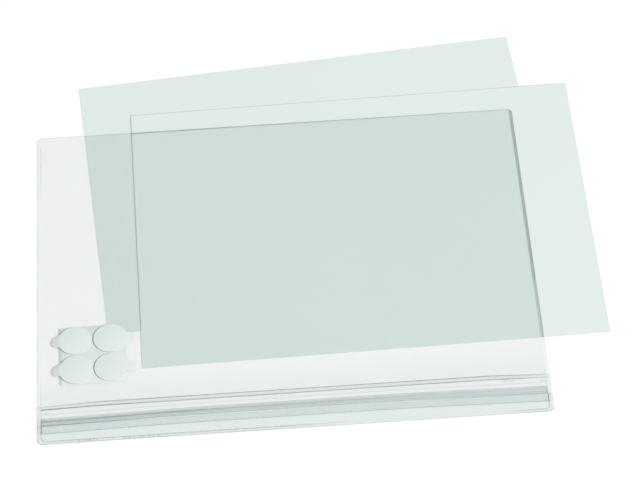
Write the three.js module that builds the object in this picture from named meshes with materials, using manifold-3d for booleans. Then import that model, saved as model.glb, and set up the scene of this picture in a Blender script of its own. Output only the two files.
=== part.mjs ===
// A clear document pocket that closes with a press zip, lying on two fanned document sheets,
// with the card of round adhesive pads that fix the pocket to a wall lying on its front.
// Millimetres, +Z up, X along the pocket's long side, Y from its zip towards its top edge.
// The whole set is placed with the middle of its bounding box over the origin and its lowest face at Z = 0.

import * as THREE from "three";
import { mergeVertices } from "three/addons/utils/BufferGeometryUtils.js";
import Module from "manifold-3d";

const wasm = await Module();
wasm.setup();

// Pocket outline and films
const pocketWidth = 321;
const pocketHeight = 247;
const cornerRadius = 3.2;
const filmThickness = 0.2;

// Welded border: how far in from the edge the weld reaches, and the bead that it squeezes up there
const sideWeldWidth = 2.5;
const bottomWeldWidth = 2;
const topWeldWidth = 1.1;
const beadWidth = 0.6;
const beadHeight = 0.1;

// Press zip across the front: its centreline above the pocket's bottom edge, and what reaches up and down from it
const zipHeight = 17;
const flangeReach = 12.4;
const flangeLap = 3.2;
const rampFoot = 7.6;
const rampHead = 3.7;
const lipReach = 7.4;
const lipLift = 0.3;
const baseReachUp = 3.4;
const baseReachDown = 8;
const stripLap = 5;

// Press zip section: a headed rib that snaps between two hooked walls
const tapeThickness = 0.3;
const channelWidth = 4.2;
const hookWall = 0.6;
const hookBarb = 0.7;
const hookBarbDepth = 0.4;
const hookLeadIn = 0.2;
const ribHeadHeight = 0.35;
const ribNoseTaper = 0.9;
const ribStemWidth = 1.6;
const zipPlay = 0.15;

// Zip ends, crushed flat into the side welds
const zipEndGap = 0.3;
const crushLap = 4;
const seamGap = 0.1;

// Document sheets, landscape A4, and where their centres lie from the pocket's centre
const sheetWidth = 297;
const sheetHeight = 210;
const sheetThickness = 0.3;
const rearSheetPlace = { x: 24.4, y: 73.4, turn: 4.56 };
const frontSheetPlace = { x: 52.8, y: 36.7, turn: 0.89 };

// Card of adhesive pads, and where its centre lies from the pocket's centre
const cardWidth = 41.8;
const cardHeight = 44.4;
const cardThickness = 0.3;
const cardPlace = { x: -124.9, y: -57.9, turn: 0.9 };
const padDiameter = 21.4;
const padThickness = 1;
const padPitchX = 22.4;
const padPitchY = 22.6;
const coverThickness = 0.2;
const tabLength = 4.5;
const tabWidth = 8.2;
const tabSquareness = 0.75;

const arcSegments = 10;
const padSegments = 24;

// Levels above the pocket's own back face
const backTop = filmThickness;
const frontTop = 2 * filmThickness;
const baseTop = frontTop + tapeThickness;
const ribFoot = baseTop + zipPlay;
const ribShoulder = ribFoot + ribHeadHeight;
const barbUnder = ribShoulder + zipPlay;
const hookTop = barbUnder + hookBarbDepth;
const webUnder = hookTop + zipPlay;
const lipUnder = baseTop + lipLift;

// Places across the pocket, from its centre
const halfWidth = pocketWidth / 2;
const topEdge = pocketHeight / 2;
const bottomEdge = -pocketHeight / 2;
const zipY = bottomEdge + zipHeight;
const flangeEdge = zipY + flangeReach;
const panelEdge = flangeEdge - flangeLap;
const baseLowerEdge = zipY - baseReachDown;
const stripEdge = baseLowerEdge + stripLap;
const zipHalfLength = halfWidth - sideWeldWidth - zipEndGap;

const filmLook = { color: 0xe9f0ee, roughness: 0.12, metalness: 0, transparent: true, opacity: 0.35 };
const zipLook = { color: 0xcfd9d6, roughness: 0.2, metalness: 0, transparent: true, opacity: 0.6 };
const sheetLook = { color: 0xe2ebe8, roughness: 0.55, metalness: 0 };
const cardLook = { color: 0xdbe3e0, roughness: 0.6, metalness: 0 };
const padLook = { color: 0xd3dbd8, roughness: 0.8, metalness: 0 };
const coverLook = { color: 0xe4ebe9, roughness: 0.45, metalness: 0 };

// A closed geometry as a solid that can be joined, cut and clipped
function solidOf(geometry) {
  const bare = geometry.clone();
  bare.deleteAttribute("normal");
  bare.deleteAttribute("uv");
  const merged = mergeVertices(bare, 1e-4);
  return new wasm.Manifold(
    new wasm.Mesh({
      numProp: 3,
      vertProperties: new Float32Array(merged.attributes.position.array),
      triVerts: new Uint32Array(merged.index.array),
    }),
  );
}

function geometryOf(solid) {
  const mesh = solid.getMesh();
  const geometry = new THREE.BufferGeometry();
  geometry.setAttribute("position", new THREE.BufferAttribute(mesh.vertProperties, 3));
  geometry.setIndex(new THREE.BufferAttribute(mesh.triVerts, 1));
  geometry.computeVertexNormals();
  return geometry;
}

function piece(name, geometry, look) {
  const mesh = new THREE.Mesh(geometry, new THREE.MeshStandardMaterial(look));
  mesh.name = name;
  return mesh;
}

// A flat outline given thickness, standing on the level given
function plate(outline, thickness, level, segments = arcSegments) {
  const options = { depth: thickness, bevelEnabled: false, curveSegments: segments };
  return new THREE.ExtrudeGeometry(outline, options).translate(0, 0, level);
}

function block(left, right, low, high, level, top) {
  const size = [right - left, high - low, top - level];
  const middle = [(left + right) / 2, (low + high) / 2, (level + top) / 2];
  return new THREE.BoxGeometry(...size).translate(...middle);
}

// A rectangle with a radius for its lower two corners and one for its upper two, 0 leaving them square
function panelOutline(left, right, low, high, lowRadius, highRadius) {
  const outline = new THREE.Shape();
  outline.moveTo(left + lowRadius, low);
  outline.lineTo(right - lowRadius, low);
  if (lowRadius > 0) outline.absarc(right - lowRadius, low + lowRadius, lowRadius, -Math.PI / 2, 0);
  outline.lineTo(right, high - highRadius);
  if (highRadius > 0) outline.absarc(right - highRadius, high - highRadius, highRadius, 0, Math.PI / 2);
  outline.lineTo(left + highRadius, high);
  if (highRadius > 0) outline.absarc(left + highRadius, high - highRadius, highRadius, Math.PI / 2, Math.PI);
  outline.lineTo(left, low + lowRadius);
  if (lowRadius > 0) outline.absarc(left + lowRadius, low + lowRadius, lowRadius, Math.PI, 1.5 * Math.PI);
  return outline;
}

// A section drawn in Y and Z, run along X between the two zip ends given
function runAlongZip(section, halfLength) {
  const options = { depth: 2 * halfLength, bevelEnabled: false, curveSegments: arcSegments };
  const turn = new THREE.Matrix4().makeBasis(
    new THREE.Vector3(0, 1, 0),
    new THREE.Vector3(0, 0, 1),
    new THREE.Vector3(1, 0, 0),
  );
  return new THREE.ExtrudeGeometry(section, options).applyMatrix4(turn).translate(-halfLength, zipY, 0);
}

// The bead that the weld squeezes up along its inner side, all round the pocket
function weldBead() {
  const outer = panelOutline(
    -halfWidth + sideWeldWidth - beadWidth / 2,
    halfWidth - sideWeldWidth + beadWidth / 2,
    bottomEdge + bottomWeldWidth - beadWidth / 2,
    topEdge - topWeldWidth + beadWidth / 2,
    cornerRadius,
    cornerRadius,
  );
  const inner = panelOutline(
    -halfWidth + sideWeldWidth + beadWidth / 2,
    halfWidth - sideWeldWidth - beadWidth / 2,
    bottomEdge + bottomWeldWidth + beadWidth / 2,
    topEdge - topWeldWidth - beadWidth / 2,
    cornerRadius - beadWidth / 2,
    cornerRadius - beadWidth / 2,
  );
  outer.holes.push(inner);
  return solidOf(plate(outer, filmThickness / 2 + beadHeight, frontTop - filmThickness / 2));
}

function backPanel() {
  const outline = panelOutline(-halfWidth, halfWidth, bottomEdge, topEdge, cornerRadius, cornerRadius);
  return piece("back_panel", plate(outline, filmThickness, 0), filmLook);
}

// The front film above the zip, with its share of the bead
function frontPanel() {
  const outline = panelOutline(-halfWidth, halfWidth, panelEdge, topEdge, 0, cornerRadius);
  const film = solidOf(plate(outline, filmThickness, backTop));
  const reach = solidOf(block(-halfWidth, halfWidth, flangeEdge + seamGap, topEdge, 0, webUnder));
  return piece("front_panel", geometryOf(film.add(weldBead().intersect(reach))), filmLook);
}

// The strip of front film below the zip, with the rest of the bead
function lowerStrip() {
  const outline = panelOutline(-halfWidth, halfWidth, bottomEdge, stripEdge, cornerRadius, 0);
  const film = solidOf(plate(outline, filmThickness, backTop));
  const reach = solidOf(block(-halfWidth, halfWidth, bottomEdge, baseLowerEdge - seamGap, 0, webUnder));
  return piece("lower_front_strip", geometryOf(film.add(weldBead().intersect(reach))), filmLook);
}

// The channel's two hooked walls stand on a flat tape
function channelSection() {
  const inside = channelWidth / 2;
  const outside = inside + hookWall;
  const mouth = inside - hookBarb;
  const tip = barbUnder + hookBarbDepth / 3;
  const section = new THREE.Shape();
  section.moveTo(-baseReachDown, frontTop);
  section.lineTo(baseReachUp, frontTop);
  section.lineTo(baseReachUp, baseTop);
  section.lineTo(outside, baseTop);
  section.lineTo(outside, hookTop - hookLeadIn);
  section.lineTo(outside - hookLeadIn, hookTop);
  section.lineTo(mouth + 2 * hookLeadIn, hookTop);
  section.lineTo(mouth, tip);
  section.lineTo(mouth, barbUnder);
  section.lineTo(inside, barbUnder);
  section.lineTo(inside, baseTop);
  section.lineTo(-inside, baseTop);
  section.lineTo(-inside, barbUnder);
  section.lineTo(-mouth, barbUnder);
  section.lineTo(-mouth, tip);
  section.lineTo(-mouth - 2 * hookLeadIn, hookTop);
  section.lineTo(-outside + hookLeadIn, hookTop);
  section.lineTo(-outside, hookTop - hookLeadIn);
  section.lineTo(-outside, baseTop);
  section.lineTo(-baseReachDown, baseTop);
  section.closePath();
  return section;
}

// The headed rib hangs under a web that comes down to a flange on one side and a grip lip on the other
function ribSection() {
  const stem = ribStemWidth / 2;
  const head = channelWidth / 2 - zipPlay;
  const nose = head - ribNoseTaper;
  const rampMiddle = (rampFoot + rampHead) / 2;
  const flangeTop = frontTop + tapeThickness;
  const webTop = webUnder + tapeThickness;
  const section = new THREE.Shape();
  section.moveTo(flangeReach, frontTop);
  section.lineTo(rampFoot, frontTop);
  section.bezierCurveTo(rampMiddle, frontTop, rampMiddle, webUnder, rampHead, webUnder);
  section.lineTo(stem, webUnder);
  section.lineTo(stem, ribShoulder);
  section.lineTo(head, ribShoulder);
  section.quadraticCurveTo(head, ribFoot, nose, ribFoot);
  section.lineTo(-nose, ribFoot);
  section.quadraticCurveTo(-head, ribFoot, -head, ribShoulder);
  section.lineTo(-stem, ribShoulder);
  section.lineTo(-stem, webUnder);
  section.lineTo(-rampHead, webUnder);
  section.quadraticCurveTo(-(rampHead + lipReach) / 2, webUnder, -lipReach, lipUnder);
  section.lineTo(-lipReach, lipUnder + tapeThickness);
  section.quadraticCurveTo(-(rampHead + lipReach) / 2, webTop, -rampHead, webTop);
  section.lineTo(rampHead, webTop);
  section.bezierCurveTo(rampMiddle, webTop, rampMiddle, flangeTop, rampFoot, flangeTop);
  section.lineTo(flangeReach, flangeTop);
  section.closePath();
  return section;
}

// The channel track ends short of the side welds, but its lower flange runs into them
function channelTrack() {
  let track = solidOf(runAlongZip(channelSection(), zipHalfLength - zipEndGap));
  for (const side of [-1, 1]) {
    const ends = [side * (zipHalfLength - crushLap), side * halfWidth].sort((a, b) => a - b);
    const flange = block(ends[0], ends[1], baseLowerEdge, stripEdge - zipEndGap, frontTop, baseTop);
    track = track.add(solidOf(flange));
  }
  return piece("zip_channel_track", geometryOf(track), zipLook);
}

// The rib track's upper flange runs into the side welds, where its end is crushed down to the back film
function ribTrack() {
  let track = solidOf(runAlongZip(ribSection(), zipHalfLength));
  const flangeTop = frontTop + tapeThickness;
  const flangeLow = zipY + rampFoot;
  for (const side of [-1, 1]) {
    const ends = [side * (zipHalfLength - crushLap), side * halfWidth].sort((a, b) => a - b);
    const crushed = [side * zipHalfLength, side * halfWidth].sort((a, b) => a - b);
    const flange = block(ends[0], ends[1], flangeLow, flangeEdge, frontTop, flangeTop);
    const end = block(crushed[0], crushed[1], stripEdge + seamGap, panelEdge - seamGap, backTop, flangeTop);
    track = track.add(solidOf(flange)).add(solidOf(end));
  }
  return piece("zip_rib_track", geometryOf(track), zipLook);
}

function documentSheet(name, place, level) {
  const outline = panelOutline(
    -sheetWidth / 2, sheetWidth / 2, -sheetHeight / 2, sheetHeight / 2, 0, 0,
  );
  const sheet = piece(name, plate(outline, sheetThickness, 0), sheetLook);
  sheet.position.set(place.x, place.y, level);
  sheet.rotation.z = THREE.MathUtils.degToRad(place.turn);
  return sheet;
}

// A disc with a finger tab at the side given: 1 to the right, -1 to the left
function coverOutline(side) {
  const radius = padDiameter / 2;
  const root = Math.asin(tabWidth / 2 / radius);
  const start = side > 0 ? root : Math.PI + root;
  const foot = side * radius * Math.cos(root);
  const tip = side * (radius + tabLength);
  const shoulder = foot + tabSquareness * (tip - foot);
  const halfWidth = (side * tabWidth) / 2;
  const outline = new THREE.Shape();
  outline.absarc(0, 0, radius, start, start + 2 * Math.PI - 2 * root, false);
  outline.bezierCurveTo(shoulder, -halfWidth, tip, -halfWidth * tabSquareness, tip, 0);
  outline.bezierCurveTo(tip, halfWidth * tabSquareness, shoulder, halfWidth, foot, halfWidth);
  return outline;
}

// The release card with four foam pads in two rows, each under a cover that has its finger tab outwards
function padCard() {
  const card = new THREE.Group();
  const sheet = panelOutline(-cardWidth / 2, cardWidth / 2, -cardHeight / 2, cardHeight / 2, 0, 0);
  card.add(piece("release_card", plate(sheet, cardThickness, 0), cardLook));
  const disc = new THREE.Shape();
  disc.absarc(0, 0, padDiameter / 2, 0, 2 * Math.PI, false);
  let count = 0;
  for (const row of [1, -1]) {
    for (const column of [-1, 1]) {
      count += 1;
      const pad = piece(`adhesive_pad_${count}`, plate(disc, padThickness, 0, padSegments), padLook);
      const cover = piece(
        `pad_cover_${count}`, plate(coverOutline(column), coverThickness, 0, padSegments), coverLook,
      );
      pad.position.set((column * padPitchX) / 2, (row * padPitchY) / 2, cardThickness);
      cover.position.set(pad.position.x, pad.position.y, cardThickness + padThickness);
      card.add(pad, cover);
    }
  }
  card.position.set(cardPlace.x, cardPlace.y, frontTop);
  card.rotation.z = THREE.MathUtils.degToRad(cardPlace.turn);
  return card;
}

const pocket = new THREE.Group();
pocket.add(backPanel(), frontPanel(), lowerStrip(), ribTrack(), channelTrack(), padCard());
pocket.position.z = 2 * sheetThickness;

const fan = new THREE.Group();
fan.add(documentSheet("rear_sheet", rearSheetPlace, 0));
fan.add(documentSheet("front_sheet", frontSheetPlace, sheetThickness));
fan.add(pocket);

// The bounding box is centred over the origin
fan.updateMatrixWorld(true);
const middle = new THREE.Box3().setFromObject(fan, true).getCenter(new THREE.Vector3());
fan.position.set(-middle.x, -middle.y, 0);

const group = new THREE.Group();
group.add(fan);

export default group;
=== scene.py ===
# %% [markdown]
# # A clear document pocket with a press zip
#
# The object is a flat pocket of clear film. It closes with a press zip along its front, and it
# lies on two pale A4 sheets that are fanned out under it. A small card of round adhesive pads lies
# on it. The imported solids hold every size and place, so this lesson starts by loading them, and it
# keeps their bounding box.

# %% Load the frame
import math

import bpy
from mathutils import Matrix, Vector


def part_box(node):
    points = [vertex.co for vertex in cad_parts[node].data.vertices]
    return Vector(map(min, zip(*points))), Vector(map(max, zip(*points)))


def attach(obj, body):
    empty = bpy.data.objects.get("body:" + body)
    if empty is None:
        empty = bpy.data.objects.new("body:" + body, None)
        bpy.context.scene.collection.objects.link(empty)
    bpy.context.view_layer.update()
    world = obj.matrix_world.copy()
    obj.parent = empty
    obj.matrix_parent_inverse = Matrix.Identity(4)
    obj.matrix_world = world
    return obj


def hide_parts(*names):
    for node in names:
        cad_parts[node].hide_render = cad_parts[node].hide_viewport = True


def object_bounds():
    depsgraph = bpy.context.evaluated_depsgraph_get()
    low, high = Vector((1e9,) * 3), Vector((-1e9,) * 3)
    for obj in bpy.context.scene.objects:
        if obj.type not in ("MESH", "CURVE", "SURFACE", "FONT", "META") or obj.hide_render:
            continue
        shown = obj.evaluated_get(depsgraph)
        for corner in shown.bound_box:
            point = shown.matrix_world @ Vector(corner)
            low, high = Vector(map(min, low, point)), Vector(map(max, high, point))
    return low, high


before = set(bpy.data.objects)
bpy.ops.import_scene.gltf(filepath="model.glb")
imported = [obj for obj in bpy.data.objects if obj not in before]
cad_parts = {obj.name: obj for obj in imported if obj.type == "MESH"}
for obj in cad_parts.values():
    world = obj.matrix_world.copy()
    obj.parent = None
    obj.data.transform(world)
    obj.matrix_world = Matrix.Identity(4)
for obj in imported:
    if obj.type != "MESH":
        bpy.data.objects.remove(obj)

MM = 0.001
cad_low, cad_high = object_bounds()
pocket_low, pocket_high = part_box("back_panel")
pocket_middle = (pocket_low + pocket_high) / 2
print("the set measures", [round(side / MM, 1) for side in cad_high - cad_low], "mm")

# %% [markdown]
# ## Camera
#
# The sheets are A4, so their corners give the camera: a long lens, looking down at about 52
# degrees and turned a little. Its place is written from the pocket's middle, on the plane where
# the pocket lies. The lens follows from the focal length in pixels of a picture 640 pixels wide.

# %% The camera
FOCAL_PIXELS = 2656.1
PICTURE_WIDTH = 640
CAMERA_FROM_POCKET = Vector((-0.01512, -1.03794, 1.37034))
CAMERA_TURN = (0.6585, 0.0215, -0.0647)

camera_data = bpy.data.cameras.new("camera")
camera_data.sensor_width = 36
camera_data.lens = FOCAL_PIXELS / PICTURE_WIDTH * camera_data.sensor_width
camera = bpy.data.objects.new("camera", camera_data)
camera.location = Vector((pocket_middle.x, pocket_middle.y, pocket_low.z)) + CAMERA_FROM_POCKET
camera.rotation_euler = CAMERA_TURN
bpy.context.collection.objects.link(camera)
bpy.context.scene.camera = camera
print("lens", round(camera_data.lens, 1), "mm")

# %% [markdown]
# ## Shader helpers
#
# The materials are mostly Math nodes, so a few helpers write them as short calls. One of them is a
# mask that tells a viewer's rays from the light's. A mark that is multiplied by it is seen, but
# casts no shadow.

# %% Helpers for shader nodes


def feed(tree, source, socket):
    """Give a socket a plain number, or link it to another socket."""
    if isinstance(source, (int, float)):
        socket.default_value = source
    else:
        tree.links.new(source, socket)


def math_node(tree, operation, first, second=0.0):
    """A Math node fed by sockets or plain numbers."""
    node = tree.nodes.new("ShaderNodeMath")
    node.operation = operation
    feed(tree, first, node.inputs[0])
    feed(tree, second, node.inputs[1])
    return node.outputs[0]


def math_chain(tree, operation, *values):
    """All values joined by one operation, such as their product or the largest of them."""
    joined = values[0]
    for value in values[1:]:
        joined = math_node(tree, operation, joined, value)
    return joined


def fade(tree, value, full, gone, start=0.0):
    """1 where the value is at full and 0 where it is at gone, smoothly between, from a start."""
    node = tree.nodes.new("ShaderNodeMapRange")
    node.interpolation_type = "SMOOTHSTEP"
    node.inputs["From Min"].default_value = start + gone
    node.inputs["From Max"].default_value = start + full
    tree.links.new(value, node.inputs["Value"])
    return node.outputs["Result"]


def object_place(tree):
    """A point's Object coordinates, as one vector and as its X, Y and Z."""
    spot = tree.nodes.new("ShaderNodeTexCoord").outputs["Object"]
    apart = tree.nodes.new("ShaderNodeSeparateXYZ")
    tree.links.new(spot, apart.inputs[0])
    return spot, apart.outputs["X"], apart.outputs["Y"], apart.outputs["Z"]


def light_path_mask(tree):
    """1 for rays that a viewer follows by sight, mirror or glass, and 0 for light on surfaces."""
    path = tree.nodes.new("ShaderNodeLightPath").outputs
    rays = path["Is Camera Ray"], path["Is Glossy Ray"], path["Is Transmission Ray"]
    return math_chain(tree, "MAXIMUM", *rays)


print("shader helpers ready")

# %% [markdown]
# ## Light and floor
#
# Clear film shows itself by its edges, so the light is soft and even, with one lamp from the right
# that is strong enough to draw a thin shadow along the left edge of each sheet and pad. Together
# they are at a level at which a colour renders about as it is written. The floor is pale and keeps
# the shadows, and what the lamps leave short of white is added for the camera alone.

# %% Light
SKY_STRENGTH = 0.45
LAMP_FROM_MIDDLE = Vector((6.6, -5.0, 6.5))
LAMP_SIZE = 1.05
WATTS_AT_A_METRE = 9.3
FACES_IN_A_LINE_OF_SIGHT = 48

world = bpy.data.worlds.new("studio")
world.use_nodes = True
bpy.context.scene.world = world
sky_tree = world.node_tree
sky = sky_tree.nodes["Background"]
sky.inputs["Color"].default_value = (1, 1, 1, 1)
sky_level = sky_tree.nodes.new("ShaderNodeMapRange")
sky_level.inputs["To Min"].default_value = SKY_STRENGTH
sky_level.inputs["To Max"].default_value = 1
sky_tree.links.new(light_path_mask(sky_tree), sky_level.inputs["Value"])
sky_tree.links.new(sky_level.outputs["Result"], sky.inputs["Strength"])

lamp_data = bpy.data.lights.new("lamp", "AREA")
lamp_data.shape = "DISK"
lamp_data.size = LAMP_SIZE
lamp_data.energy = WATTS_AT_A_METRE * LAMP_FROM_MIDDLE.length_squared
lamp = bpy.data.objects.new("lamp", lamp_data)
lamp.location = LAMP_FROM_MIDDLE
lamp.rotation_euler = (-LAMP_FROM_MIDDLE).to_track_quat("-Z", "Y").to_euler()
bpy.context.collection.objects.link(lamp)
bpy.context.scene.view_settings.view_transform = "Standard"
bpy.context.scene.cycles.transparent_max_bounces = FACES_IN_A_LINE_OF_SIGHT
print("one lamp of", round(lamp_data.energy), "W and a sky at", SKY_STRENGTH)

# %% Floor
FLOOR_SIDE = 8
FLOOR_COLOUR = (0.6, 0.6, 0.6, 1)
FLOOR_LIFT = 0.41

bpy.ops.object.select_all(action="DESELECT")
bpy.ops.mesh.primitive_plane_add(size=FLOOR_SIDE, location=(0, 0, cad_low.z))
floor = bpy.context.object
floor.name = "floor"
floor_look = bpy.data.materials.new("floor")
floor_look.use_nodes = True
floor_tree = floor_look.node_tree
floor_paint = floor_tree.nodes["Principled BSDF"]
floor_paint.inputs["Base Color"].default_value = FLOOR_COLOUR
floor_paint.inputs["Roughness"].default_value = 1
floor_paint.inputs["Specular IOR Level"].default_value = 0
floor_paint.inputs["Emission Color"].default_value = (1, 1, 1, 1)
floor_lift = math_node(floor_tree, "MULTIPLY", light_path_mask(floor_tree), FLOOR_LIFT)
floor_tree.links.new(floor_lift, floor_paint.inputs["Emission Strength"])
floor.data.materials.append(floor_look)
print("floor", FLOOR_SIDE, "m wide at", round(cad_low.z / MM, 2), "mm")

# %% [markdown]
# ## Tone and grain
#
# Paper, card, foam and covers share one effect in different measure: a slow drift of tone with a
# fine grain in it. It is a node group with named inputs, and it also puts out the grain as a height
# for a bump.

# %% The tone and grain group


def new_group(name, inputs, outputs):
    """A shader group with its sockets: inputs as name, kind and value, outputs as name and kind."""
    group = bpy.data.node_groups.new(name, "ShaderNodeTree")
    for label, kind, value in inputs:
        socket = group.interface.new_socket(label, in_out="INPUT", socket_type=kind)
        socket.default_value = value
    for label, kind in outputs:
        group.interface.new_socket(label, in_out="OUTPUT", socket_type=kind)
    return group, group.nodes.new("NodeGroupInput"), group.nodes.new("NodeGroupOutput")


def noise_node(tree, vector, scale, detail):
    """A noise pattern on the vector given, centred on one half."""
    node = tree.nodes.new("ShaderNodeTexNoise")
    node.inputs["Detail"].default_value = detail
    tree.links.new(vector, node.inputs["Vector"])
    feed(tree, scale, node.inputs["Scale"])
    return node.outputs["Fac"]


def swing(tree, pattern, amount):
    """A pattern moved to swing about nought, by an amount."""
    return math_node(tree, "MULTIPLY", math_node(tree, "SUBTRACT", pattern, 0.5), amount)


tone, tone_in, tone_out = new_group(
    "tone_and_grain",
    [
        ("Color", "NodeSocketColor", (0.8, 0.8, 0.8, 1)),
        ("Drift", "NodeSocketFloat", 0.02),
        ("Drift Scale", "NodeSocketFloat", 6.0),
        ("Grain", "NodeSocketFloat", 0.02),
        ("Grain Scale", "NodeSocketFloat", 900.0),
    ],
    [("Color", "NodeSocketColor"), ("Height", "NodeSocketFloat")],
)
place = tone.nodes.new("ShaderNodeTexCoord").outputs["Object"]
drift = noise_node(tone, place, tone_in.outputs["Drift Scale"], detail=2)
grain = noise_node(tone, place, tone_in.outputs["Grain Scale"], detail=3)
slow = swing(tone, drift, tone_in.outputs["Drift"])
fine = swing(tone, grain, tone_in.outputs["Grain"])
level = math_chain(tone, "ADD", slow, fine, 1.0)
tinted = tone.nodes.new("ShaderNodeVectorMath")
tinted.operation = "SCALE"
tone.links.new(tone_in.outputs["Color"], tinted.inputs[0])
tone.links.new(level, tinted.inputs["Scale"])
tone.links.new(tinted.outputs[0], tone_out.inputs["Color"])
tone.links.new(grain, tone_out.inputs["Height"])
print("group", tone.name)

# %% [markdown]
# ## Opaque finishes: paper, card, foam and covers
#
# All of these are pale and matt. Each is a Principled shader whose colour comes through the tone
# group, with a bump from the group's height: faint on the paper and card, coarse and open on the
# foam.

# %% Opaque materials
USUAL_IOR = 1.45


def opaque_finish(name, colour, roughness, drift, grain, grain_scale, bump, bump_height):
    """A matt finish with a slow drift of tone, a grain and a bump of that grain."""
    look = bpy.data.materials.new(name)
    look.use_nodes = True
    tree = look.node_tree
    skin = tree.nodes["Principled BSDF"]
    skin.inputs["Roughness"].default_value = roughness
    skin.inputs["IOR"].default_value = USUAL_IOR
    effect = tree.nodes.new("ShaderNodeGroup")
    effect.node_tree = tone
    effect.inputs["Color"].default_value = (*colour, 1)
    effect.inputs["Drift"].default_value = drift
    effect.inputs["Grain"].default_value = grain
    effect.inputs["Grain Scale"].default_value = grain_scale
    relief = tree.nodes.new("ShaderNodeBump")
    relief.inputs["Strength"].default_value = bump
    relief.inputs["Distance"].default_value = bump_height
    tree.links.new(effect.outputs["Color"], skin.inputs["Base Color"])
    tree.links.new(effect.outputs["Height"], relief.inputs["Height"])
    tree.links.new(relief.outputs["Normal"], skin.inputs["Normal"])
    return look


sheet_finish = opaque_finish(
    "sheet_paper", colour=(0.73, 0.815, 0.785), roughness=0.55,
    drift=0.03, grain=0.012, grain_scale=1400, bump=0.25, bump_height=0.02 * MM,
)
card_finish = opaque_finish(
    "release_card", colour=(0.68, 0.755, 0.735), roughness=0.5,
    drift=0.03, grain=0.02, grain_scale=1100, bump=0.3, bump_height=0.02 * MM,
)
foam_finish = opaque_finish(
    "pad_foam", colour=(0.60, 0.625, 0.62), roughness=0.85,
    drift=0.02, grain=0.12, grain_scale=2600, bump=0.8, bump_height=0.08 * MM,
)
cover_finish = opaque_finish(
    "pad_cover", colour=(0.712, 0.785, 0.757), roughness=0.42,
    drift=0.02, grain=0.012, grain_scale=1300, bump=0.2, bump_height=0.02 * MM,
)
print("opaque finishes ready")

# %% [markdown]
# ## Clear finishes: film and zip plastic
#
# Clear plastic this thin hardly bends what lies behind it, so a see-through shader with a faint
# cool tint does better than glass, and it lets the lamp through to the sheets. What it mirrors
# comes from a Principled shader, mixed in by Fresnel on the outer face alone.
#
# Clear film shows itself by its lines, where its edges bend light and look darker. This shader
# doesn't bend light, so that shade is painted into the tint: it deepens in a narrow rim along the
# pocket's outline, along the weld's inner bead, which is also the weld's own ridge, and along each
# edge that lies across the front. A group measures how far a point lies inside a rounded outline.
# Upright walls, such as those of the zip, get painted shade as well.

# %% The outline group
outline, outline_in, outline_out = new_group(
    "inside_outline",
    [
        ("Middle", "NodeSocketVector", (0, 0, 0)),
        ("Half Size", "NodeSocketVector", (1, 1, 0)),
        ("Corner Radius", "NodeSocketFloat", 0.003),
        ("Turn", "NodeSocketFloat", 0.0),
    ],
    [("Distance", "NodeSocketFloat")],
)


def vector_node(tree, operation, first, second=None):
    """A Vector Math node fed by sockets."""
    node = tree.nodes.new("ShaderNodeVectorMath")
    node.operation = operation
    tree.links.new(first, node.inputs[0])
    if second is not None:
        tree.links.new(second, node.inputs[1])
    return node.outputs[0]


point = outline.nodes.new("ShaderNodeTexCoord").outputs["Object"]
from_middle = vector_node(outline, "SUBTRACT", point, outline_in.outputs["Middle"])
unturned = outline.nodes.new("ShaderNodeVectorRotate")
unturned.rotation_type = "Z_AXIS"
unturned.invert = True
outline.links.new(from_middle, unturned.inputs["Vector"])
outline.links.new(outline_in.outputs["Turn"], unturned.inputs["Angle"])
from_middle = vector_node(outline, "ABSOLUTE", unturned.outputs[0])
over = vector_node(outline, "SUBTRACT", from_middle, outline_in.outputs["Half Size"])
split = outline.nodes.new("ShaderNodeSeparateXYZ")
outline.links.new(over, split.inputs[0])
over_x = math_node(outline, "ADD", split.outputs["X"], outline_in.outputs["Corner Radius"])
over_y = math_node(outline, "ADD", split.outputs["Y"], outline_in.outputs["Corner Radius"])
corner_x = math_node(outline, "MAXIMUM", over_x, 0.0)
corner_y = math_node(outline, "MAXIMUM", over_y, 0.0)
square_x = math_node(outline, "MULTIPLY", corner_x, corner_x)
square_y = math_node(outline, "MULTIPLY", corner_y, corner_y)
at_corner = math_node(outline, "SQRT", math_node(outline, "ADD", square_x, square_y))
straight = math_node(outline, "MINIMUM", math_node(outline, "MAXIMUM", over_x, over_y), 0.0)
outside = math_node(outline, "ADD", at_corner, straight)
inside = math_node(outline, "SUBTRACT", outline_in.outputs["Corner Radius"], outside)
outline.links.new(inside, outline_out.inputs["Distance"])
print("group", outline.name)

# %% [markdown]
# ## Straightening the bowed lines
#
# The zip and the hem of the front film aren't quite straight: they bow upwards between the side
# welds. Their pieces are bowed further down, so the lines on them have to follow. This group gives
# the y that a point would have without the bow. A bow is written as its drop at the pocket's sides
# and its reach from them.

# %% The straightening group
ZIP_BOW = (1.4 * MM, 100 * MM)
FLANGE_BOW = (1.4 * MM, 42 * MM)
HEM_BOW = (0.8 * MM, 42 * MM)

half_width = (pocket_high.x - pocket_low.x) / 2
straight_group, straight_in, straight_out = new_group(
    "straightened",
    [("Drop", "NodeSocketFloat", 0.0), ("Reach", "NodeSocketFloat", ZIP_BOW[1])],
    [("Y", "NodeSocketFloat")],
)
_, point_x, point_y, _ = object_place(straight_group)
from_middle = math_node(straight_group, "SUBTRACT", point_x, pocket_middle.x)
from_middle = math_node(straight_group, "ABSOLUTE", from_middle)
from_side = math_node(straight_group, "SUBTRACT", half_width, from_middle)
bow = straight_group.nodes.new("ShaderNodeMapRange")
bow.interpolation_type = "SMOOTHSTEP"
bow.inputs["To Min"].default_value = 1
bow.inputs["To Max"].default_value = 0
straight_group.links.new(from_side, bow.inputs["Value"])
straight_group.links.new(straight_in.outputs["Reach"], bow.inputs["From Max"])
dropped = math_node(straight_group, "MULTIPLY", bow.outputs["Result"], straight_in.outputs["Drop"])
straight_group.links.new(math_node(straight_group, "ADD", point_y, dropped), straight_out.inputs["Y"])
print("group", straight_group.name)
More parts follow.
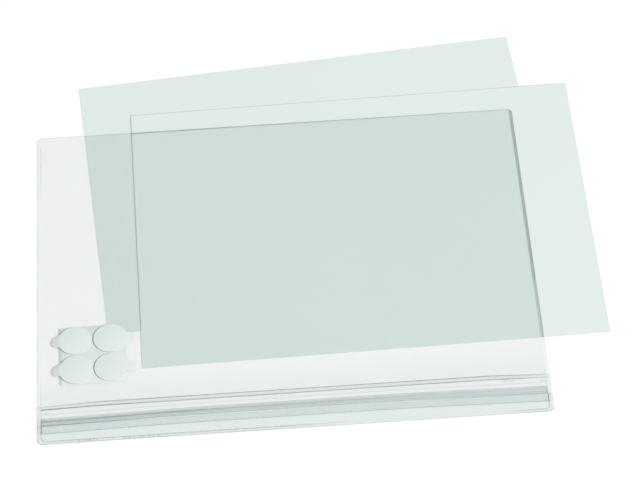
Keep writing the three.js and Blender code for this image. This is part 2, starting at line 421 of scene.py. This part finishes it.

# %% [markdown]
# ## The clear finish
#
# The marks are worked out one by one, and the strongest at each point deepens the tint. The rim,
# the bead, the edge lines across the front and the zip's end marks are painted shade for the way
# clear plastic bends light at its edges; the bead is also the weld's own ridge, and the ticks are
# the weld's own press marks. The rim is weaker along the top. Along the bottom, rim and bead are
# sharp on the left half and at the right end, and the press of the weld leaves fine ticks in two
# stretches. On the sides, the bead shows at the upper left and near the bottom. The zip's crushed
# ends get a short upright line of painted shade.

# %% Marks of the clear finish
CORNER_RADIUS = 3.2 * MM
SIDE_WELD = 2.5 * MM
BOTTOM_WELD = 2.0 * MM
TOP_WELD = 1.1 * MM
# The next two colours are painted shade: one for the film's darker rims and lines, one for its upright
# walls.
PAINTED_LINE_SHADE = (0.55, 0.60, 0.60)
PAINTED_WALL_SHADE = (0.84, 0.87, 0.87)
PLASTIC_COLOUR = (0.9, 0.95, 0.94, 1)

# A pair says where a mark is full and where it is gone, as distances from the pocket's outline.
RIM_MARK = (0.25 * MM, 0.85 * MM)
PRESSED_WELD = (BOTTOM_WELD - 0.3 * MM, BOTTOM_WELD)
BETWEEN_WELDS = (SIDE_WELD + 0.1 * MM, SIDE_WELD - 0.4 * MM)
THIN_MARK = (0.15 * MM, 0.5 * MM)
END_MARK_INSIDE = 2.75 * MM

# These pairs are places from the pocket's top edge, its bottom edge, its middle and the zip's lip.
TOP_STRIP = (-1.5 * MM, -3 * MM)
BELOW_TOP = (-12 * MM, -6 * MM)
UPPER_PART = (-30 * MM, -60 * MM)
BOTTOM_STRIP = (2.9 * MM, 3.6 * MM)
LOWER_PART = (30 * MM, 50 * MM)
LEFT_HALF = (-20 * MM, 20 * MM)
SHARP_STRETCHES = ((-12 * MM, 42 * MM), (147 * MM, 132 * MM))
TICKED_STRETCHES = ((-137 * MM, -122 * MM), (-109 * MM, -83 * MM))
STRETCH_FADE = 4 * MM
UNDER_FLANGE = (8.5 * MM, 9.2 * MM)

TOP_RIM_SHARE = 0.35
BOTTOM_RIM_GAIN = 1.6
SIDE_BEAD_SHARE = 0.8
BEAD_UNEVENNESS = 0.45
TICKS_PER_METRE = 700
WELD_WAVES_PER_METRE = 40
TICK_LEVELS = (0.36, 0.62)
TICK_STRENGTH = 0.16
WALL_STEEPNESS = (0.3, 0.85)

rib_low, rib_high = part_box("zip_rib_track")


def outline_distance(tree, low, high, radius, turn=0.0):
    """How far a point is inside the rounded outline between two corners, turned about its middle."""
    node = tree.nodes.new("ShaderNodeGroup")
    node.node_tree = outline
    middle, half = (low + high) / 2, (high - low) / 2
    node.inputs["Middle"].default_value = (middle.x, middle.y, 0)
    node.inputs["Half Size"].default_value = (half.x, half.y, 0)
    node.inputs["Corner Radius"].default_value = radius
    node.inputs["Turn"].default_value = turn
    return node.outputs["Distance"]


def strength_along(tree, share, stops):
    """A line's strength along the pocket, eased between stops of a share of the width and a strength."""
    node = tree.nodes.new("ShaderNodeValToRGB")
    ramp = node.color_ramp
    ramp.interpolation = "EASE"
    ends = [ramp.elements[0], ramp.elements[1]]
    for element, (place, strength) in zip(ends, (stops[0], stops[-1])):
        element.position = place
        element.color = (strength, strength, strength, 1)
    for place, strength in stops[1:-1]:
        element = ramp.elements.new(place)
        element.color = (strength, strength, strength, 1)
    tree.links.new(share, node.inputs["Fac"])
    return node.outputs["Color"]


def rim_shade_and_weld_marks(tree, from_rim, rim_strength, bead_strength):
    """The strongest of the rim's painted shade, the bead, partly painted shade, and the bottom weld's ticks.
    """
    spot, x, y, _ = object_place(tree)
    at_top = fade(tree, y, *TOP_STRIP, pocket_high.y)
    at_bottom = fade(tree, y, *BOTTOM_STRIP, pocket_low.y)
    sharp = [fade(tree, x, *stretch, pocket_middle.x) for stretch in SHARP_STRETCHES]
    sharp_bottom = math_node(tree, "MULTIPLY", math_chain(tree, "MAXIMUM", *sharp), at_bottom)

    weaker_top = math_node(tree, "SUBTRACT", 1.0, math_node(tree, "MULTIPLY", at_top, 1 - TOP_RIM_SHARE))
    gain = math_node(tree, "ADD", math_node(tree, "MULTIPLY", sharp_bottom, BOTTOM_RIM_GAIN), 1.0)
    # The rim is painted shade for the way the cut edge bends light. Only a viewer's rays see it, so it casts
    # no shadow.
    rim = fade(tree, from_rim, *RIM_MARK)
    rim = math_chain(tree, "MULTIPLY", rim, weaker_top, light_path_mask(tree), gain, rim_strength)

    stretched = tree.nodes.new("ShaderNodeMapping")
    stretched.inputs["Scale"].default_value = (TICKS_PER_METRE, WELD_WAVES_PER_METRE, 0)
    tree.links.new(spot, stretched.inputs["Vector"])
    ticks = fade(tree, noise_node(tree, stretched.outputs[0], 1, detail=2), *TICK_LEVELS)

    upper = fade(tree, y, *UPPER_PART, pocket_high.y)
    below_top = fade(tree, y, *BELOW_TOP, pocket_high.y)
    on_left = fade(tree, x, *LEFT_HALF, pocket_middle.x)
    upper_left = math_chain(tree, "MULTIPLY", upper, below_top, on_left)
    lower = fade(tree, y, *LOWER_PART, pocket_low.y)
    lower = math_node(tree, "MULTIPLY", lower, math_node(tree, "SUBTRACT", 1.0, at_bottom))
    at_sides = math_node(tree, "MULTIPLY", math_node(tree, "MAXIMUM", upper_left, lower), SIDE_BEAD_SHARE)
    along = math_node(tree, "MAXIMUM", sharp_bottom, at_sides)
    uneven = math_node(tree, "ADD", math_node(tree, "MULTIPLY", ticks, BEAD_UNEVENNESS), 1 - BEAD_UNEVENNESS)
    # The bead is the weld's own ridge, darkened further with painted shade for the way it bends light.
    bead_low = pocket_low + Vector((SIDE_WELD, BOTTOM_WELD, 0))
    bead_high = pocket_high - Vector((SIDE_WELD, TOP_WELD, 0))
    from_bead = math_node(tree, "ABSOLUTE", outline_distance(tree, bead_low, bead_high, CORNER_RADIUS))
    bead = math_chain(tree, "MULTIPLY", fade(tree, from_bead, *THIN_MARK), along, uneven, bead_strength)

    stretches = []
    for start, end in TICKED_STRETCHES:
        after = fade(tree, x, start + STRETCH_FADE, start, pocket_middle.x)
        before = fade(tree, x, end - STRETCH_FADE, end, pocket_middle.x)
        stretches.append(math_node(tree, "MULTIPLY", after, before))
    ticked = math_chain(tree, "MAXIMUM", *stretches)
    pressed = fade(tree, from_rim, *PRESSED_WELD)
    ticked = math_chain(tree, "MULTIPLY", ticked, ticks, pressed, at_bottom, TICK_STRENGTH)
    return math_chain(tree, "MAXIMUM", rim, bead, ticked)


def end_shade_marks(tree, from_rim, strength):
    """The short upright line of painted shade where each end of the zip is crushed."""
    _, _, y, _ = object_place(tree)
    from_mark = math_node(tree, "ABSOLUTE", math_node(tree, "SUBTRACT", from_rim, END_MARK_INSIDE))
    in_zip = fade(tree, y, *UNDER_FLANGE, rib_low.y)
    return math_chain(tree, "MULTIPLY", fade(tree, from_mark, *THIN_MARK), strength, in_zip)


def line_marks(tree, from_rim, lines):
    """A darker mark for each line across the front, most of them painted shade along an edge. Each follows
    its bow and stays between the side welds.
    """
    _, x, _, z = object_place(tree)
    between_welds = fade(tree, from_rim, *BETWEEN_WELDS)
    share = tree.nodes.new("ShaderNodeMapRange")
    share.inputs["From Min"].default_value = pocket_low.x
    share.inputs["From Max"].default_value = pocket_high.x
    tree.links.new(x, share.inputs["Value"])
    marks = []
    for place_y, (drop, reach), lowest_z, width, stops in lines:
        unbowed = tree.nodes.new("ShaderNodeGroup")
        unbowed.node_tree = straight_group
        unbowed.inputs["Drop"].default_value = drop
        unbowed.inputs["Reach"].default_value = reach
        away = math_node(tree, "ABSOLUTE", math_node(tree, "SUBTRACT", unbowed.outputs["Y"], place_y))
        near = fade(tree, away, width / 3, width)
        strength = strength_along(tree, share.outputs["Result"], stops)
        high_enough = math_node(tree, "GREATER_THAN", z, lowest_z)
        marks.append(math_chain(tree, "MULTIPLY", near, strength, between_welds, high_enough))
    return marks


print("marks ready")

# %% [markdown]
# ## Clear materials
#
# Each line across the front has its y, its bow, the lowest z at which it shows, its width, and its
# strength at shares of the pocket's width. The zip's cap has three, which keep off its hidden
# underside.

# %% The clear materials


def clear_finish(name, tint, lines, rim_strength, bead_strength, roughness, end_strength=0.0):
    """Thin clear plastic that is darker in its rim, its bead, the lines across it and its walls."""
    look = bpy.data.materials.new(name)
    look.use_nodes = True
    tree = look.node_tree
    skin = tree.nodes["Principled BSDF"]
    skin.inputs["Base Color"].default_value = PLASTIC_COLOUR
    skin.inputs["Roughness"].default_value = roughness

    from_rim = outline_distance(tree, pocket_low, pocket_high, CORNER_RADIUS)
    welds = rim_shade_and_weld_marks(tree, from_rim, rim_strength, bead_strength)
    ends = end_shade_marks(tree, from_rim, end_strength)
    marks = math_chain(tree, "MAXIMUM", welds, ends, *line_marks(tree, from_rim, lines))

    # Painted shade: faces are darker the more upright they stand, for the way the walls bend light.
    geometry = tree.nodes.new("ShaderNodeNewGeometry")
    upright = tree.nodes.new("ShaderNodeSeparateXYZ")
    tree.links.new(geometry.outputs["True Normal"], upright.inputs[0])
    wall = fade(tree, math_node(tree, "ABSOLUTE", upright.outputs["Z"]), *WALL_STEEPNESS)

    through = tree.nodes.new("ShaderNodeMix")
    through.data_type = "RGBA"
    through.inputs["A"].default_value = (*tint, 1)
    through.inputs["B"].default_value = (*PAINTED_LINE_SHADE, 1)
    tree.links.new(marks, through.inputs["Factor"])
    walled = tree.nodes.new("ShaderNodeMix")
    walled.data_type = "RGBA"
    walled.inputs["B"].default_value = (*PAINTED_WALL_SHADE, 1)
    tree.links.new(wall, walled.inputs["Factor"])
    tree.links.new(through.outputs["Result"], walled.inputs["A"])
    clear = tree.nodes.new("ShaderNodeBsdfTransparent")
    tree.links.new(walled.outputs["Result"], clear.inputs["Color"])

    mirror = tree.nodes.new("ShaderNodeFresnel")
    mirror.inputs["IOR"].default_value = USUAL_IOR
    outer = math_node(tree, "SUBTRACT", 1.0, geometry.outputs["Backfacing"])
    mixed = tree.nodes.new("ShaderNodeMixShader")
    tree.links.new(math_node(tree, "MULTIPLY", mirror.outputs[0], outer), mixed.inputs["Fac"])
    tree.links.new(clear.outputs[0], mixed.inputs[1])
    tree.links.new(skin.outputs[0], mixed.inputs[2])
    tree.links.new(mixed.outputs[0], tree.nodes["Material Output"].inputs["Surface"])
    return look


FILM_TINT = (0.9755, 0.980, 0.9785)
STRIP_TINT = (0.937, 0.958, 0.956)
RIB_TINT = (0.963, 0.973, 0.972)
CHANNEL_TINT = (0.976, 0.984, 0.984)
FILM_ROUGHNESS = 0.12
ZIP_ROUGHNESS = 0.15
END_STRENGTH = 0.5

panel_low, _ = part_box("front_panel")
channel_low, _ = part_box("zip_channel_track")
ANYWHERE = 0.0
CAP_TOP = rib_high.z - 0.05 * MM
CAP_UNDERSIDE = rib_high.z - 0.35 * MM

# The hem, flange, cap and channel lines are painted shade along edges that bend light. The hem's wide band
# is a darker tone towards the hem.
HEM_LINE = ((0.0, 0.95), (0.12, 1.0), (0.4, 0.95), (0.75, 0.8), (0.92, 0.65), (1.0, 0.35))
HEM_DARKER_BAND = ((0.0, 0.04), (1.0, 0.04))
FLANGE_LINE = ((0.0, 0.15), (0.06, 0.4), (0.16, 0.8), (0.55, 0.75), (0.9, 0.8), (0.96, 0.5), (1.0, 0.3))
CAP_LINE = ((0.0, 1.0), (0.25, 1.0), (0.4, 0.7), (0.65, 0.6), (0.8, 0.45), (1.0, 0.3))
CAP_MIDDLE_LINE = ((0.0, 0.35), (1.0, 0.35))
CAP_LOWER_LINE = ((0.0, 0.5), (0.12, 0.42), (0.3, 0.22), (0.5, 0.14), (1.0, 0.12))
CHANNEL_EDGE_LINE = ((0.0, 0.55), (1.0, 0.55))

panel_lines = [
    (panel_low.y, HEM_BOW, ANYWHERE, 0.95 * MM, HEM_LINE),
    (panel_low.y, HEM_BOW, ANYWHERE, 24 * MM, HEM_DARKER_BAND),
]
rib_lines = [
    (rib_high.y, FLANGE_BOW, ANYWHERE, 0.75 * MM, FLANGE_LINE),
    (rib_low.y + 7.15 * MM, ZIP_BOW, CAP_TOP, 1.0 * MM, CAP_LINE),
    (rib_low.y + 5.6 * MM, ZIP_BOW, CAP_TOP, 0.4 * MM, CAP_MIDDLE_LINE),
    (rib_low.y + 4.4 * MM, ZIP_BOW, CAP_UNDERSIDE, 0.5 * MM, CAP_LOWER_LINE),
]
channel_lines = [(channel_low.y, ZIP_BOW, ANYWHERE, 0.6 * MM, CHANNEL_EDGE_LINE)]

back_finish = clear_finish(
    "back_film", FILM_TINT, [], rim_strength=0.08, bead_strength=0.1, roughness=FILM_ROUGHNESS
)
panel_finish = clear_finish(
    "front_film", FILM_TINT, panel_lines, rim_strength=0.11, bead_strength=0.12, roughness=FILM_ROUGHNESS
)
strip_finish = clear_finish(
    "strip_film", STRIP_TINT, [], rim_strength=0.11, bead_strength=0.45, roughness=FILM_ROUGHNESS
)
rib_finish = clear_finish(
    "zip_rib", RIB_TINT, rib_lines,
    rim_strength=0.05, bead_strength=0.05, roughness=ZIP_ROUGHNESS, end_strength=END_STRENGTH,
)
channel_finish = clear_finish(
    "zip_channel", CHANNEL_TINT, channel_lines,
    rim_strength=0.05, bead_strength=0.05, roughness=ZIP_ROUGHNESS, end_strength=END_STRENGTH,
)
print("clear finishes ready")

# %% [markdown]
# ## The front sheet's painted edge shadow
#
# The upper sheet's edge casts a thin shadow line on the sheet below, although the two have one
# colour. It gets the sheet finish with that shadow painted along its own edge as a slightly darker
# rim, found with the outline group, which is turned as the sheet is. Its right edge lies beyond
# the other sheet and stays light.

# %% Front sheet finish
SHEET_SIZE = Vector((297 * MM, 210 * MM, 0))
FRONT_SHEET_TURN = math.radians(0.89)
EDGE_WIDTH = 0.75 * MM
EDGE_SHADOW_DARKNESS = 0.3
LEFT_OF_ITS_END = (-16 * MM, -6 * MM)
OVER_REAR_SHEET = (33 * MM, 29 * MM)

sheet_low, sheet_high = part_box("front_sheet")
sheet_middle = (sheet_low + sheet_high) / 2
front_sheet_finish = sheet_finish.copy()
front_sheet_finish.name = "front_sheet_paper"
sheet_tree = front_sheet_finish.node_tree
sheet_skin = sheet_tree.nodes["Principled BSDF"]
paper = sheet_skin.inputs["Base Color"].links[0].from_socket
corners = sheet_middle - SHEET_SIZE / 2, sheet_middle + SHEET_SIZE / 2
from_edge = outline_distance(sheet_tree, *corners, 0, FRONT_SHEET_TURN)
_, sheet_x, sheet_y, _ = object_place(sheet_tree)
# Painted shadow: the sheet is darker just inside its edge, where the edge's shadow would fall.
edge = math_chain(
    sheet_tree,
    "MULTIPLY",
    fade(sheet_tree, from_edge, EDGE_WIDTH / 3, EDGE_WIDTH),
    fade(sheet_tree, sheet_x, *LEFT_OF_ITS_END, sheet_high.x),
    fade(sheet_tree, sheet_y, *OVER_REAR_SHEET, sheet_low.y),
    EDGE_SHADOW_DARKNESS,
)
edge_shadowed = sheet_tree.nodes.new("ShaderNodeVectorMath")
edge_shadowed.operation = "SCALE"
sheet_tree.links.new(paper, edge_shadowed.inputs[0])
sheet_tree.links.new(math_node(sheet_tree, "SUBTRACT", 1.0, edge), edge_shadowed.inputs["Scale"])
sheet_tree.links.new(edge_shadowed.outputs[0], sheet_skin.inputs["Base Color"])
print("front sheet finish ready")

# %% [markdown]
# ## Working in edit mode
#
# Every new piece is made by the same few steps, so they get short helpers: clear the selection,
# choose parts by their place, apply a modifier, and hand the piece to the frame.

# %% Helpers for edit mode
SMOOTH_ANGLE = math.radians(35)
SELECT_MODES = {"verts": "VERT", "edges": "EDGE", "faces": "FACE"}


def deselect_all():
    """Leave edit mode and select nothing, because an operator acts on all that is selected."""
    if bpy.context.object and bpy.context.object.mode != "OBJECT":
        bpy.ops.object.mode_set(mode="OBJECT")
    bpy.ops.object.select_all(action="DESELECT")


def choose(kind, test):
    """In edit mode, select the vertices, edges or faces whose middle passes the test."""
    mesh = bpy.context.object.data
    bpy.ops.mesh.select_mode(type=SELECT_MODES[kind])
    bpy.ops.mesh.select_all(action="DESELECT")
    bpy.ops.object.mode_set(mode="OBJECT")
    if kind == "verts":
        parts = mesh.vertices
        places = [vertex.co for vertex in parts]
    elif kind == "edges":
        parts = mesh.edges
        ends = [[mesh.vertices[index].co for index in edge.vertices] for edge in parts]
        places = [(first + second) / 2 for first, second in ends]
    else:
        parts = mesh.polygons
        places = [face.center for face in parts]
    for part, place in zip(parts, places):
        part.select = test(place)
    bpy.ops.object.mode_set(mode="EDIT")


def finish_piece(piece, name, finish, slot, *nodes):
    """Name a piece, put its place in its mesh, give it a finish, and let it stand for its nodes."""
    deselect_all()
    piece.select_set(True)
    bpy.context.view_layer.objects.active = piece
    bpy.ops.object.transform_apply(location=True, rotation=True, scale=True)
    bpy.ops.object.shade_smooth_by_angle(angle=SMOOTH_ANGLE)
    piece.name = name
    piece.data.materials.clear()
    piece.data.materials.append(finish)
    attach(piece, "root")
    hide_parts(*nodes)
    deselect_all()


def add_modifier(piece, kind, **settings):
    """Add a modifier with its settings and apply it."""
    modifier = piece.modifiers.new(kind.lower(), kind)
    for key, value in settings.items():
        setattr(modifier, key, value)
    bpy.context.view_layer.objects.active = piece
    bpy.ops.object.modifier_apply(modifier=modifier.name)


print("helpers ready")

# %% [markdown]
# ## Zip tracks and front film
#
# The zip's two tracks and the front film have their section in the solids. On the real pocket
# they aren't quite straight: the side welds hold the zip's ends a little nearer to the front edge,
# so it bows upwards between them. Each piece starts as a copy of its solid. The copy's loose
# triangles are merged, it is bisected at stations along its length, and each station is moved by
# the bow there, which is the same smooth step that the finish uses to find its lines.

# %% Bow the tracks and the film's hem
STATIONS = [place * MM for place in (0.5, 3, 6, 10, 15, 20, 25, 31, 37, 42, 50, 58, 67, 77, 88, 100)]
MERGE_DISTANCE = 0.001 * MM
X_DIGITS = 5
FLANGE_WIDTH = 4.5 * MM
HEM_WIDTH = 1.5 * MM


def smooth_step(share):
    """The smooth step of a share from 0 to 1."""
    share = min(1.0, max(0.0, share))
    return share * share * (3 - 2 * share)


def bow_at(x, bow):
    """How far a bowed piece is lowered at x, by a bow that has a drop at its ends and a reach from them."""
    drop, reach = bow
    from_end = half_width - abs(x - pocket_middle.x)
    return drop * smooth_step(1 - from_end / reach)


def bowed_copy(node, name, finish, slot, zones):
    """A copy of a solid that is bowed in zones, each from a lowest to a highest y with its own bow."""
    deselect_all()
    piece = bpy.data.objects.new(name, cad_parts[node].data.copy())
    bpy.context.collection.objects.link(piece)
    piece.select_set(True)
    bpy.context.view_layer.objects.active = piece
    bpy.ops.object.mode_set(mode="EDIT")
    bpy.ops.mesh.select_all(action="SELECT")
    bpy.ops.mesh.remove_doubles(threshold=MERGE_DISTANCE)
    for station in STATIONS:
        for side in (-1, 1):
            cut = (pocket_middle.x + side * (half_width - station), 0, 0)
            bpy.ops.mesh.select_all(action="SELECT")
            bpy.ops.mesh.bisect(plane_co=cut, plane_no=(1, 0, 0))
    bpy.ops.object.mode_set(mode="OBJECT")
    places = sorted({round(vertex.co.x, X_DIGITS) for vertex in piece.data.vertices})
    bpy.ops.object.mode_set(mode="EDIT")
    for lowest_y, highest_y, bow in zones:
        for x in places:
            lowered = bow_at(x, bow)
            if lowered > 0:
                choose("verts", lambda spot: round(spot.x, X_DIGITS) == x and lowest_y <= spot.y < highest_y)
                bpy.ops.transform.translate(value=(0, -lowered, 0))
    finish_piece(piece, name, finish, slot, node)
    print(name, len(piece.data.polygons), "faces")
    return piece


above_all, below_all = pocket_high.y, pocket_low.y
flange_start = rib_high.y - FLANGE_WIDTH
rib_zones = [(flange_start, above_all, FLANGE_BOW), (below_all, flange_start, ZIP_BOW)]
channel_zones = [(below_all, above_all, ZIP_BOW)]
hem_zones = [(below_all, panel_low.y + HEM_WIDTH, HEM_BOW)]
bowed_copy("zip_rib_track", "rib_track", rib_finish, "zip_plastic", rib_zones)
bowed_copy("zip_channel_track", "channel_track", channel_finish, "zip_plastic", channel_zones)
film = bowed_copy("front_panel", "front_film", panel_finish, "clear_film", hem_zones)
film.data.shade_flat()

# %% [markdown]
# ## Foam pads
#
# Each pad is a die-cut disc of soft foam. A cylinder is only its start: the real one is crowned,
# because the cutter presses its rim down, and its side swells a little. So the top is inset into
# rings that step down towards the rim, the side gets two more rings that are pushed outwards, and
# a bevel rounds both rims.

# %% Model the pads
ROUND_SIDES = 96
CROWN = 0.38 * MM
RING_SHARES = (0.92, 0.82, 0.68, 0.5, 0.28)
RING_MARGIN = 0.15 * MM
LEVEL_MARGIN = 0.01 * MM
SWELL = 1.007
SIDE_MARGIN = 0.1 * MM
SIDE_SHARE = 0.95
PAD_RIM_BEVEL = 0.12 * MM
PAD_RIM_ANGLE = math.radians(50)


def flat_distance(place, middle):
    """The distance between two places, seen from above."""
    return math.hypot(place.x - middle.x, place.y - middle.y)


def crown_drop(share):
    """How far the crowned surface is below its middle, at a share of the radius."""
    return CROWN * share * share


def on_ring(middle, radius, top):
    """A test for places on a level ring."""

    def test(place):
        from_ring = flat_distance(place, middle) - radius
        return abs(place.z - top) < LEVEL_MARGIN and abs(from_ring) < RING_MARGIN

    return test


def on_side(middle, radius, lowest, highest):
    """A test for places on a pad's side, between two heights."""

    def test(place):
        return lowest < place.z < highest and flat_distance(place, middle) > SIDE_SHARE * radius

    return test


def crown_disc(middle, radius, top):
    """In edit mode, with the disc face selected, inset its rings and let each drop to the crown."""
    share_before = 1.0
    for share in RING_SHARES:
        bpy.ops.mesh.inset(thickness=(share_before - share) * radius, depth=0)
        share_before = share
    bpy.ops.mesh.poke()
    for share in (1.0, *RING_SHARES):
        choose("verts", on_ring(middle, share * radius, top))
        bpy.ops.transform.translate(value=(0, 0, -crown_drop(share)))


for number in range(1, 5):
    low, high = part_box(f"adhesive_pad_{number}")
    middle, radius = (low + high) / 2, (high.x - low.x) / 2
    deselect_all()
    bpy.ops.mesh.primitive_cylinder_add(
        vertices=ROUND_SIDES, radius=radius / SWELL, depth=high.z - low.z,
        location=middle, end_fill_type="NGON",
    )
    pad = bpy.context.object
    bpy.ops.object.transform_apply(location=True, rotation=True, scale=True)
    bpy.ops.object.mode_set(mode="EDIT")
    choose("faces", lambda place: place.z > high.z - LEVEL_MARGIN)
    crown_disc(middle, radius / SWELL, high.z)
    choose("edges", on_side(middle, radius, low.z + 2 * SIDE_MARGIN, high.z - CROWN / 2 - SIDE_MARGIN))
    bpy.ops.mesh.subdivide(number_cuts=2)
    choose("verts", on_side(middle, radius, low.z + SIDE_MARGIN, high.z - CROWN - SIDE_MARGIN))
    bpy.ops.transform.resize(value=(SWELL, SWELL, 1), center_override=middle)
    deselect_all()
    add_modifier(
        pad, "BEVEL", width=PAD_RIM_BEVEL, segments=3, limit_method="ANGLE", angle_limit=PAD_RIM_ANGLE
    )
    finish_piece(pad, f"foam_pad_{number}", foam_finish, "foam_pad", f"adhesive_pad_{number}")
    print(pad.name, len(pad.data.polygons), "faces")

# %% [markdown]
# ## Pad covers
#
# A cover is a disc of slick paper, cut with a finger tab on its outer side, and it follows the
# crown of its pad. A circle is filled and its face is inset in the same rings as the pad. The tab
# grows out of the rim by extruding the rim edges row after row: each row steps outwards, droops
# and narrows, so that its end is round. The left tabs slant down almost to the film, and the right
# ones only a little. Solidify then gives the paper its thickness.

# %% Model the covers
COVER_THICKNESS = 0.08 * MM
TAB_REACH = 4.4 * MM
TAB_HALF_ANGLE = math.radians(21)
TAB_ROWS = 7
TAB_BLUNTNESS = 2.2
TAB_END_SHARE = 0.06
TAB_ROOT_SHARE = 0.985
TAB_DROOPS = {-1: 1.02 * MM, 1: 0.35 * MM}
TAB_SIDES = {1: -1, 2: 1, 3: -1, 4: 1}


def tab_width(step):
    """The share of its first width that the tab has left after a step, for a blunt round end."""
    return math.sqrt(max(0.0, 1 - (step / TAB_ROWS) ** TAB_BLUNTNESS))


def tab_reach(step):
    """How far the tab reaches from the rim after a step."""
    return TAB_REACH * math.sin(math.pi / 2 * step / TAB_ROWS)


def tab_height(reach, side):
    """How far the tab is below the rim, as a negative number. It is creased at the rim."""
    return -TAB_DROOPS[side] * reach / TAB_REACH


for number, side in TAB_SIDES.items():
    pad_low, pad_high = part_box(f"adhesive_pad_{number}")
    low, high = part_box(f"pad_cover_{number}")
    middle, radius = (pad_low + pad_high) / 2, (pad_high.x - pad_low.x) / 2
    deselect_all()
    bpy.ops.mesh.primitive_circle_add(
        vertices=ROUND_SIDES, radius=radius, fill_type="NGON", location=(middle.x, middle.y, high.z)
    )
    cover = bpy.context.object
    bpy.ops.object.transform_apply(location=True, rotation=True, scale=True)
    bpy.ops.object.mode_set(mode="EDIT")
    choose("faces", lambda place: True)
    crown_disc(middle, radius, high.z)
    rim = high.z - CROWN

    def on_tab_root(place):
        """True for a rim edge within the tab's angle."""
        across = place - middle
        angle = math.atan2(across.y, across.x * side)
        return abs(angle) < TAB_HALF_ANGLE and flat_distance(place, middle) > TAB_ROOT_SHARE * radius

    choose("edges", on_tab_root)
    for step in range(1, TAB_ROWS + 1):
        reach, reach_before = tab_reach(step), tab_reach(step - 1)
        droop = tab_height(reach, side) - tab_height(reach_before, side)
        move = (side * (reach - reach_before), 0, droop)
        bpy.ops.mesh.extrude_edges_move(TRANSFORM_OT_translate={"value": move})
        apex = (middle.x + side * (radius + reach), middle.y, rim + tab_height(reach, side))
        shrink = max(tab_width(step), TAB_END_SHARE) / tab_width(step - 1)
        bpy.ops.transform.resize(value=(shrink, shrink, 1), center_override=apex)
    deselect_all()
    add_modifier(cover, "SOLIDIFY", thickness=COVER_THICKNESS, offset=-1)
    finish_piece(cover, f"cover_{number}", cover_finish, "cover_paper", f"pad_cover_{number}")
    print(cover.name, len(cover.data.polygons), "faces")

# %% [markdown]
# ## Release card
#
# The pads sit on a small card of slick paper. It is a plane that is turned with the pads, rounded
# at its corners and folded along its free left side, where it slants down to the film. Solidify
# gives it its thickness, with the top where the pads rest, and a bevel rounds its edges.

# %% Model the card
CARD_SIZE = (41.8 * MM, 44.4 * MM)
CARD_TURN = math.radians(0.9)
CARD_CORNER = 0.6 * MM
CARD_THICKNESS = 0.1 * MM
CARD_EDGE_BEVEL = 0.06 * MM
CARD_EDGE_ANGLE = math.radians(60)
CARD_FOLDS = (1.9 * MM, 3.4 * MM, 5.4 * MM)
CARD_DROPS = (0.08 * MM, 0.07 * MM, 0.04 * MM)
FOLD_MARGIN = 0.9 * MM

low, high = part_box("release_card")
middle = (low + high) / 2
deselect_all()
bpy.ops.mesh.primitive_plane_add(size=1, location=(middle.x, middle.y, high.z), rotation=(0, 0, CARD_TURN))
card = bpy.context.object
card.scale = (*CARD_SIZE, 1)
bpy.ops.object.transform_apply(location=True, rotation=True, scale=True)
bpy.ops.object.mode_set(mode="EDIT")
bpy.ops.mesh.select_all(action="SELECT")
bpy.ops.mesh.bevel(offset=CARD_CORNER, segments=5, affect="VERTICES")
for fold in CARD_FOLDS:
    bpy.ops.mesh.select_all(action="SELECT")
    bpy.ops.mesh.bisect(plane_co=(low.x + fold, 0, 0), plane_no=(1, 0, 0))
for fold, drop in zip((0, *CARD_FOLDS[:-1]), CARD_DROPS):
    choose("verts", lambda place: place.x < low.x + fold + FOLD_MARGIN)
    bpy.ops.transform.translate(value=(0, 0, -drop))
deselect_all()
add_modifier(card, "SOLIDIFY", thickness=CARD_THICKNESS, offset=-1)
add_modifier(
    card, "BEVEL", width=CARD_EDGE_BEVEL, segments=2, limit_method="ANGLE", angle_limit=CARD_EDGE_ANGLE
)
finish_piece(card, "pad_card", card_finish, "release_card", "release_card")
print(card.name, len(card.data.polygons), "faces")

# %% [markdown]
# ## Dressing the solids
#
# The sheets, the back film and the lower strip already have their true shape, so each solid takes
# its finish as it is. The solids that a modelled piece stands for get the same finish as the piece.

# %% Finishes for the solids
FINISH_OF = {
    "rear_sheet": sheet_finish,
    "front_sheet": front_sheet_finish,
    "back_panel": back_finish,
    "front_panel": panel_finish,
    "lower_front_strip": strip_finish,
    "zip_rib_track": rib_finish,
    "zip_channel_track": channel_finish,
    "release_card": card_finish,
}
for number in range(1, 5):
    FINISH_OF[f"adhesive_pad_{number}"] = foam_finish
    FINISH_OF[f"pad_cover_{number}"] = cover_finish
for node, finish in FINISH_OF.items():
    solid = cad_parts[node]
    solid.data.materials.clear()
    solid.data.materials.append(finish)
print(len(FINISH_OF), "solids dressed")
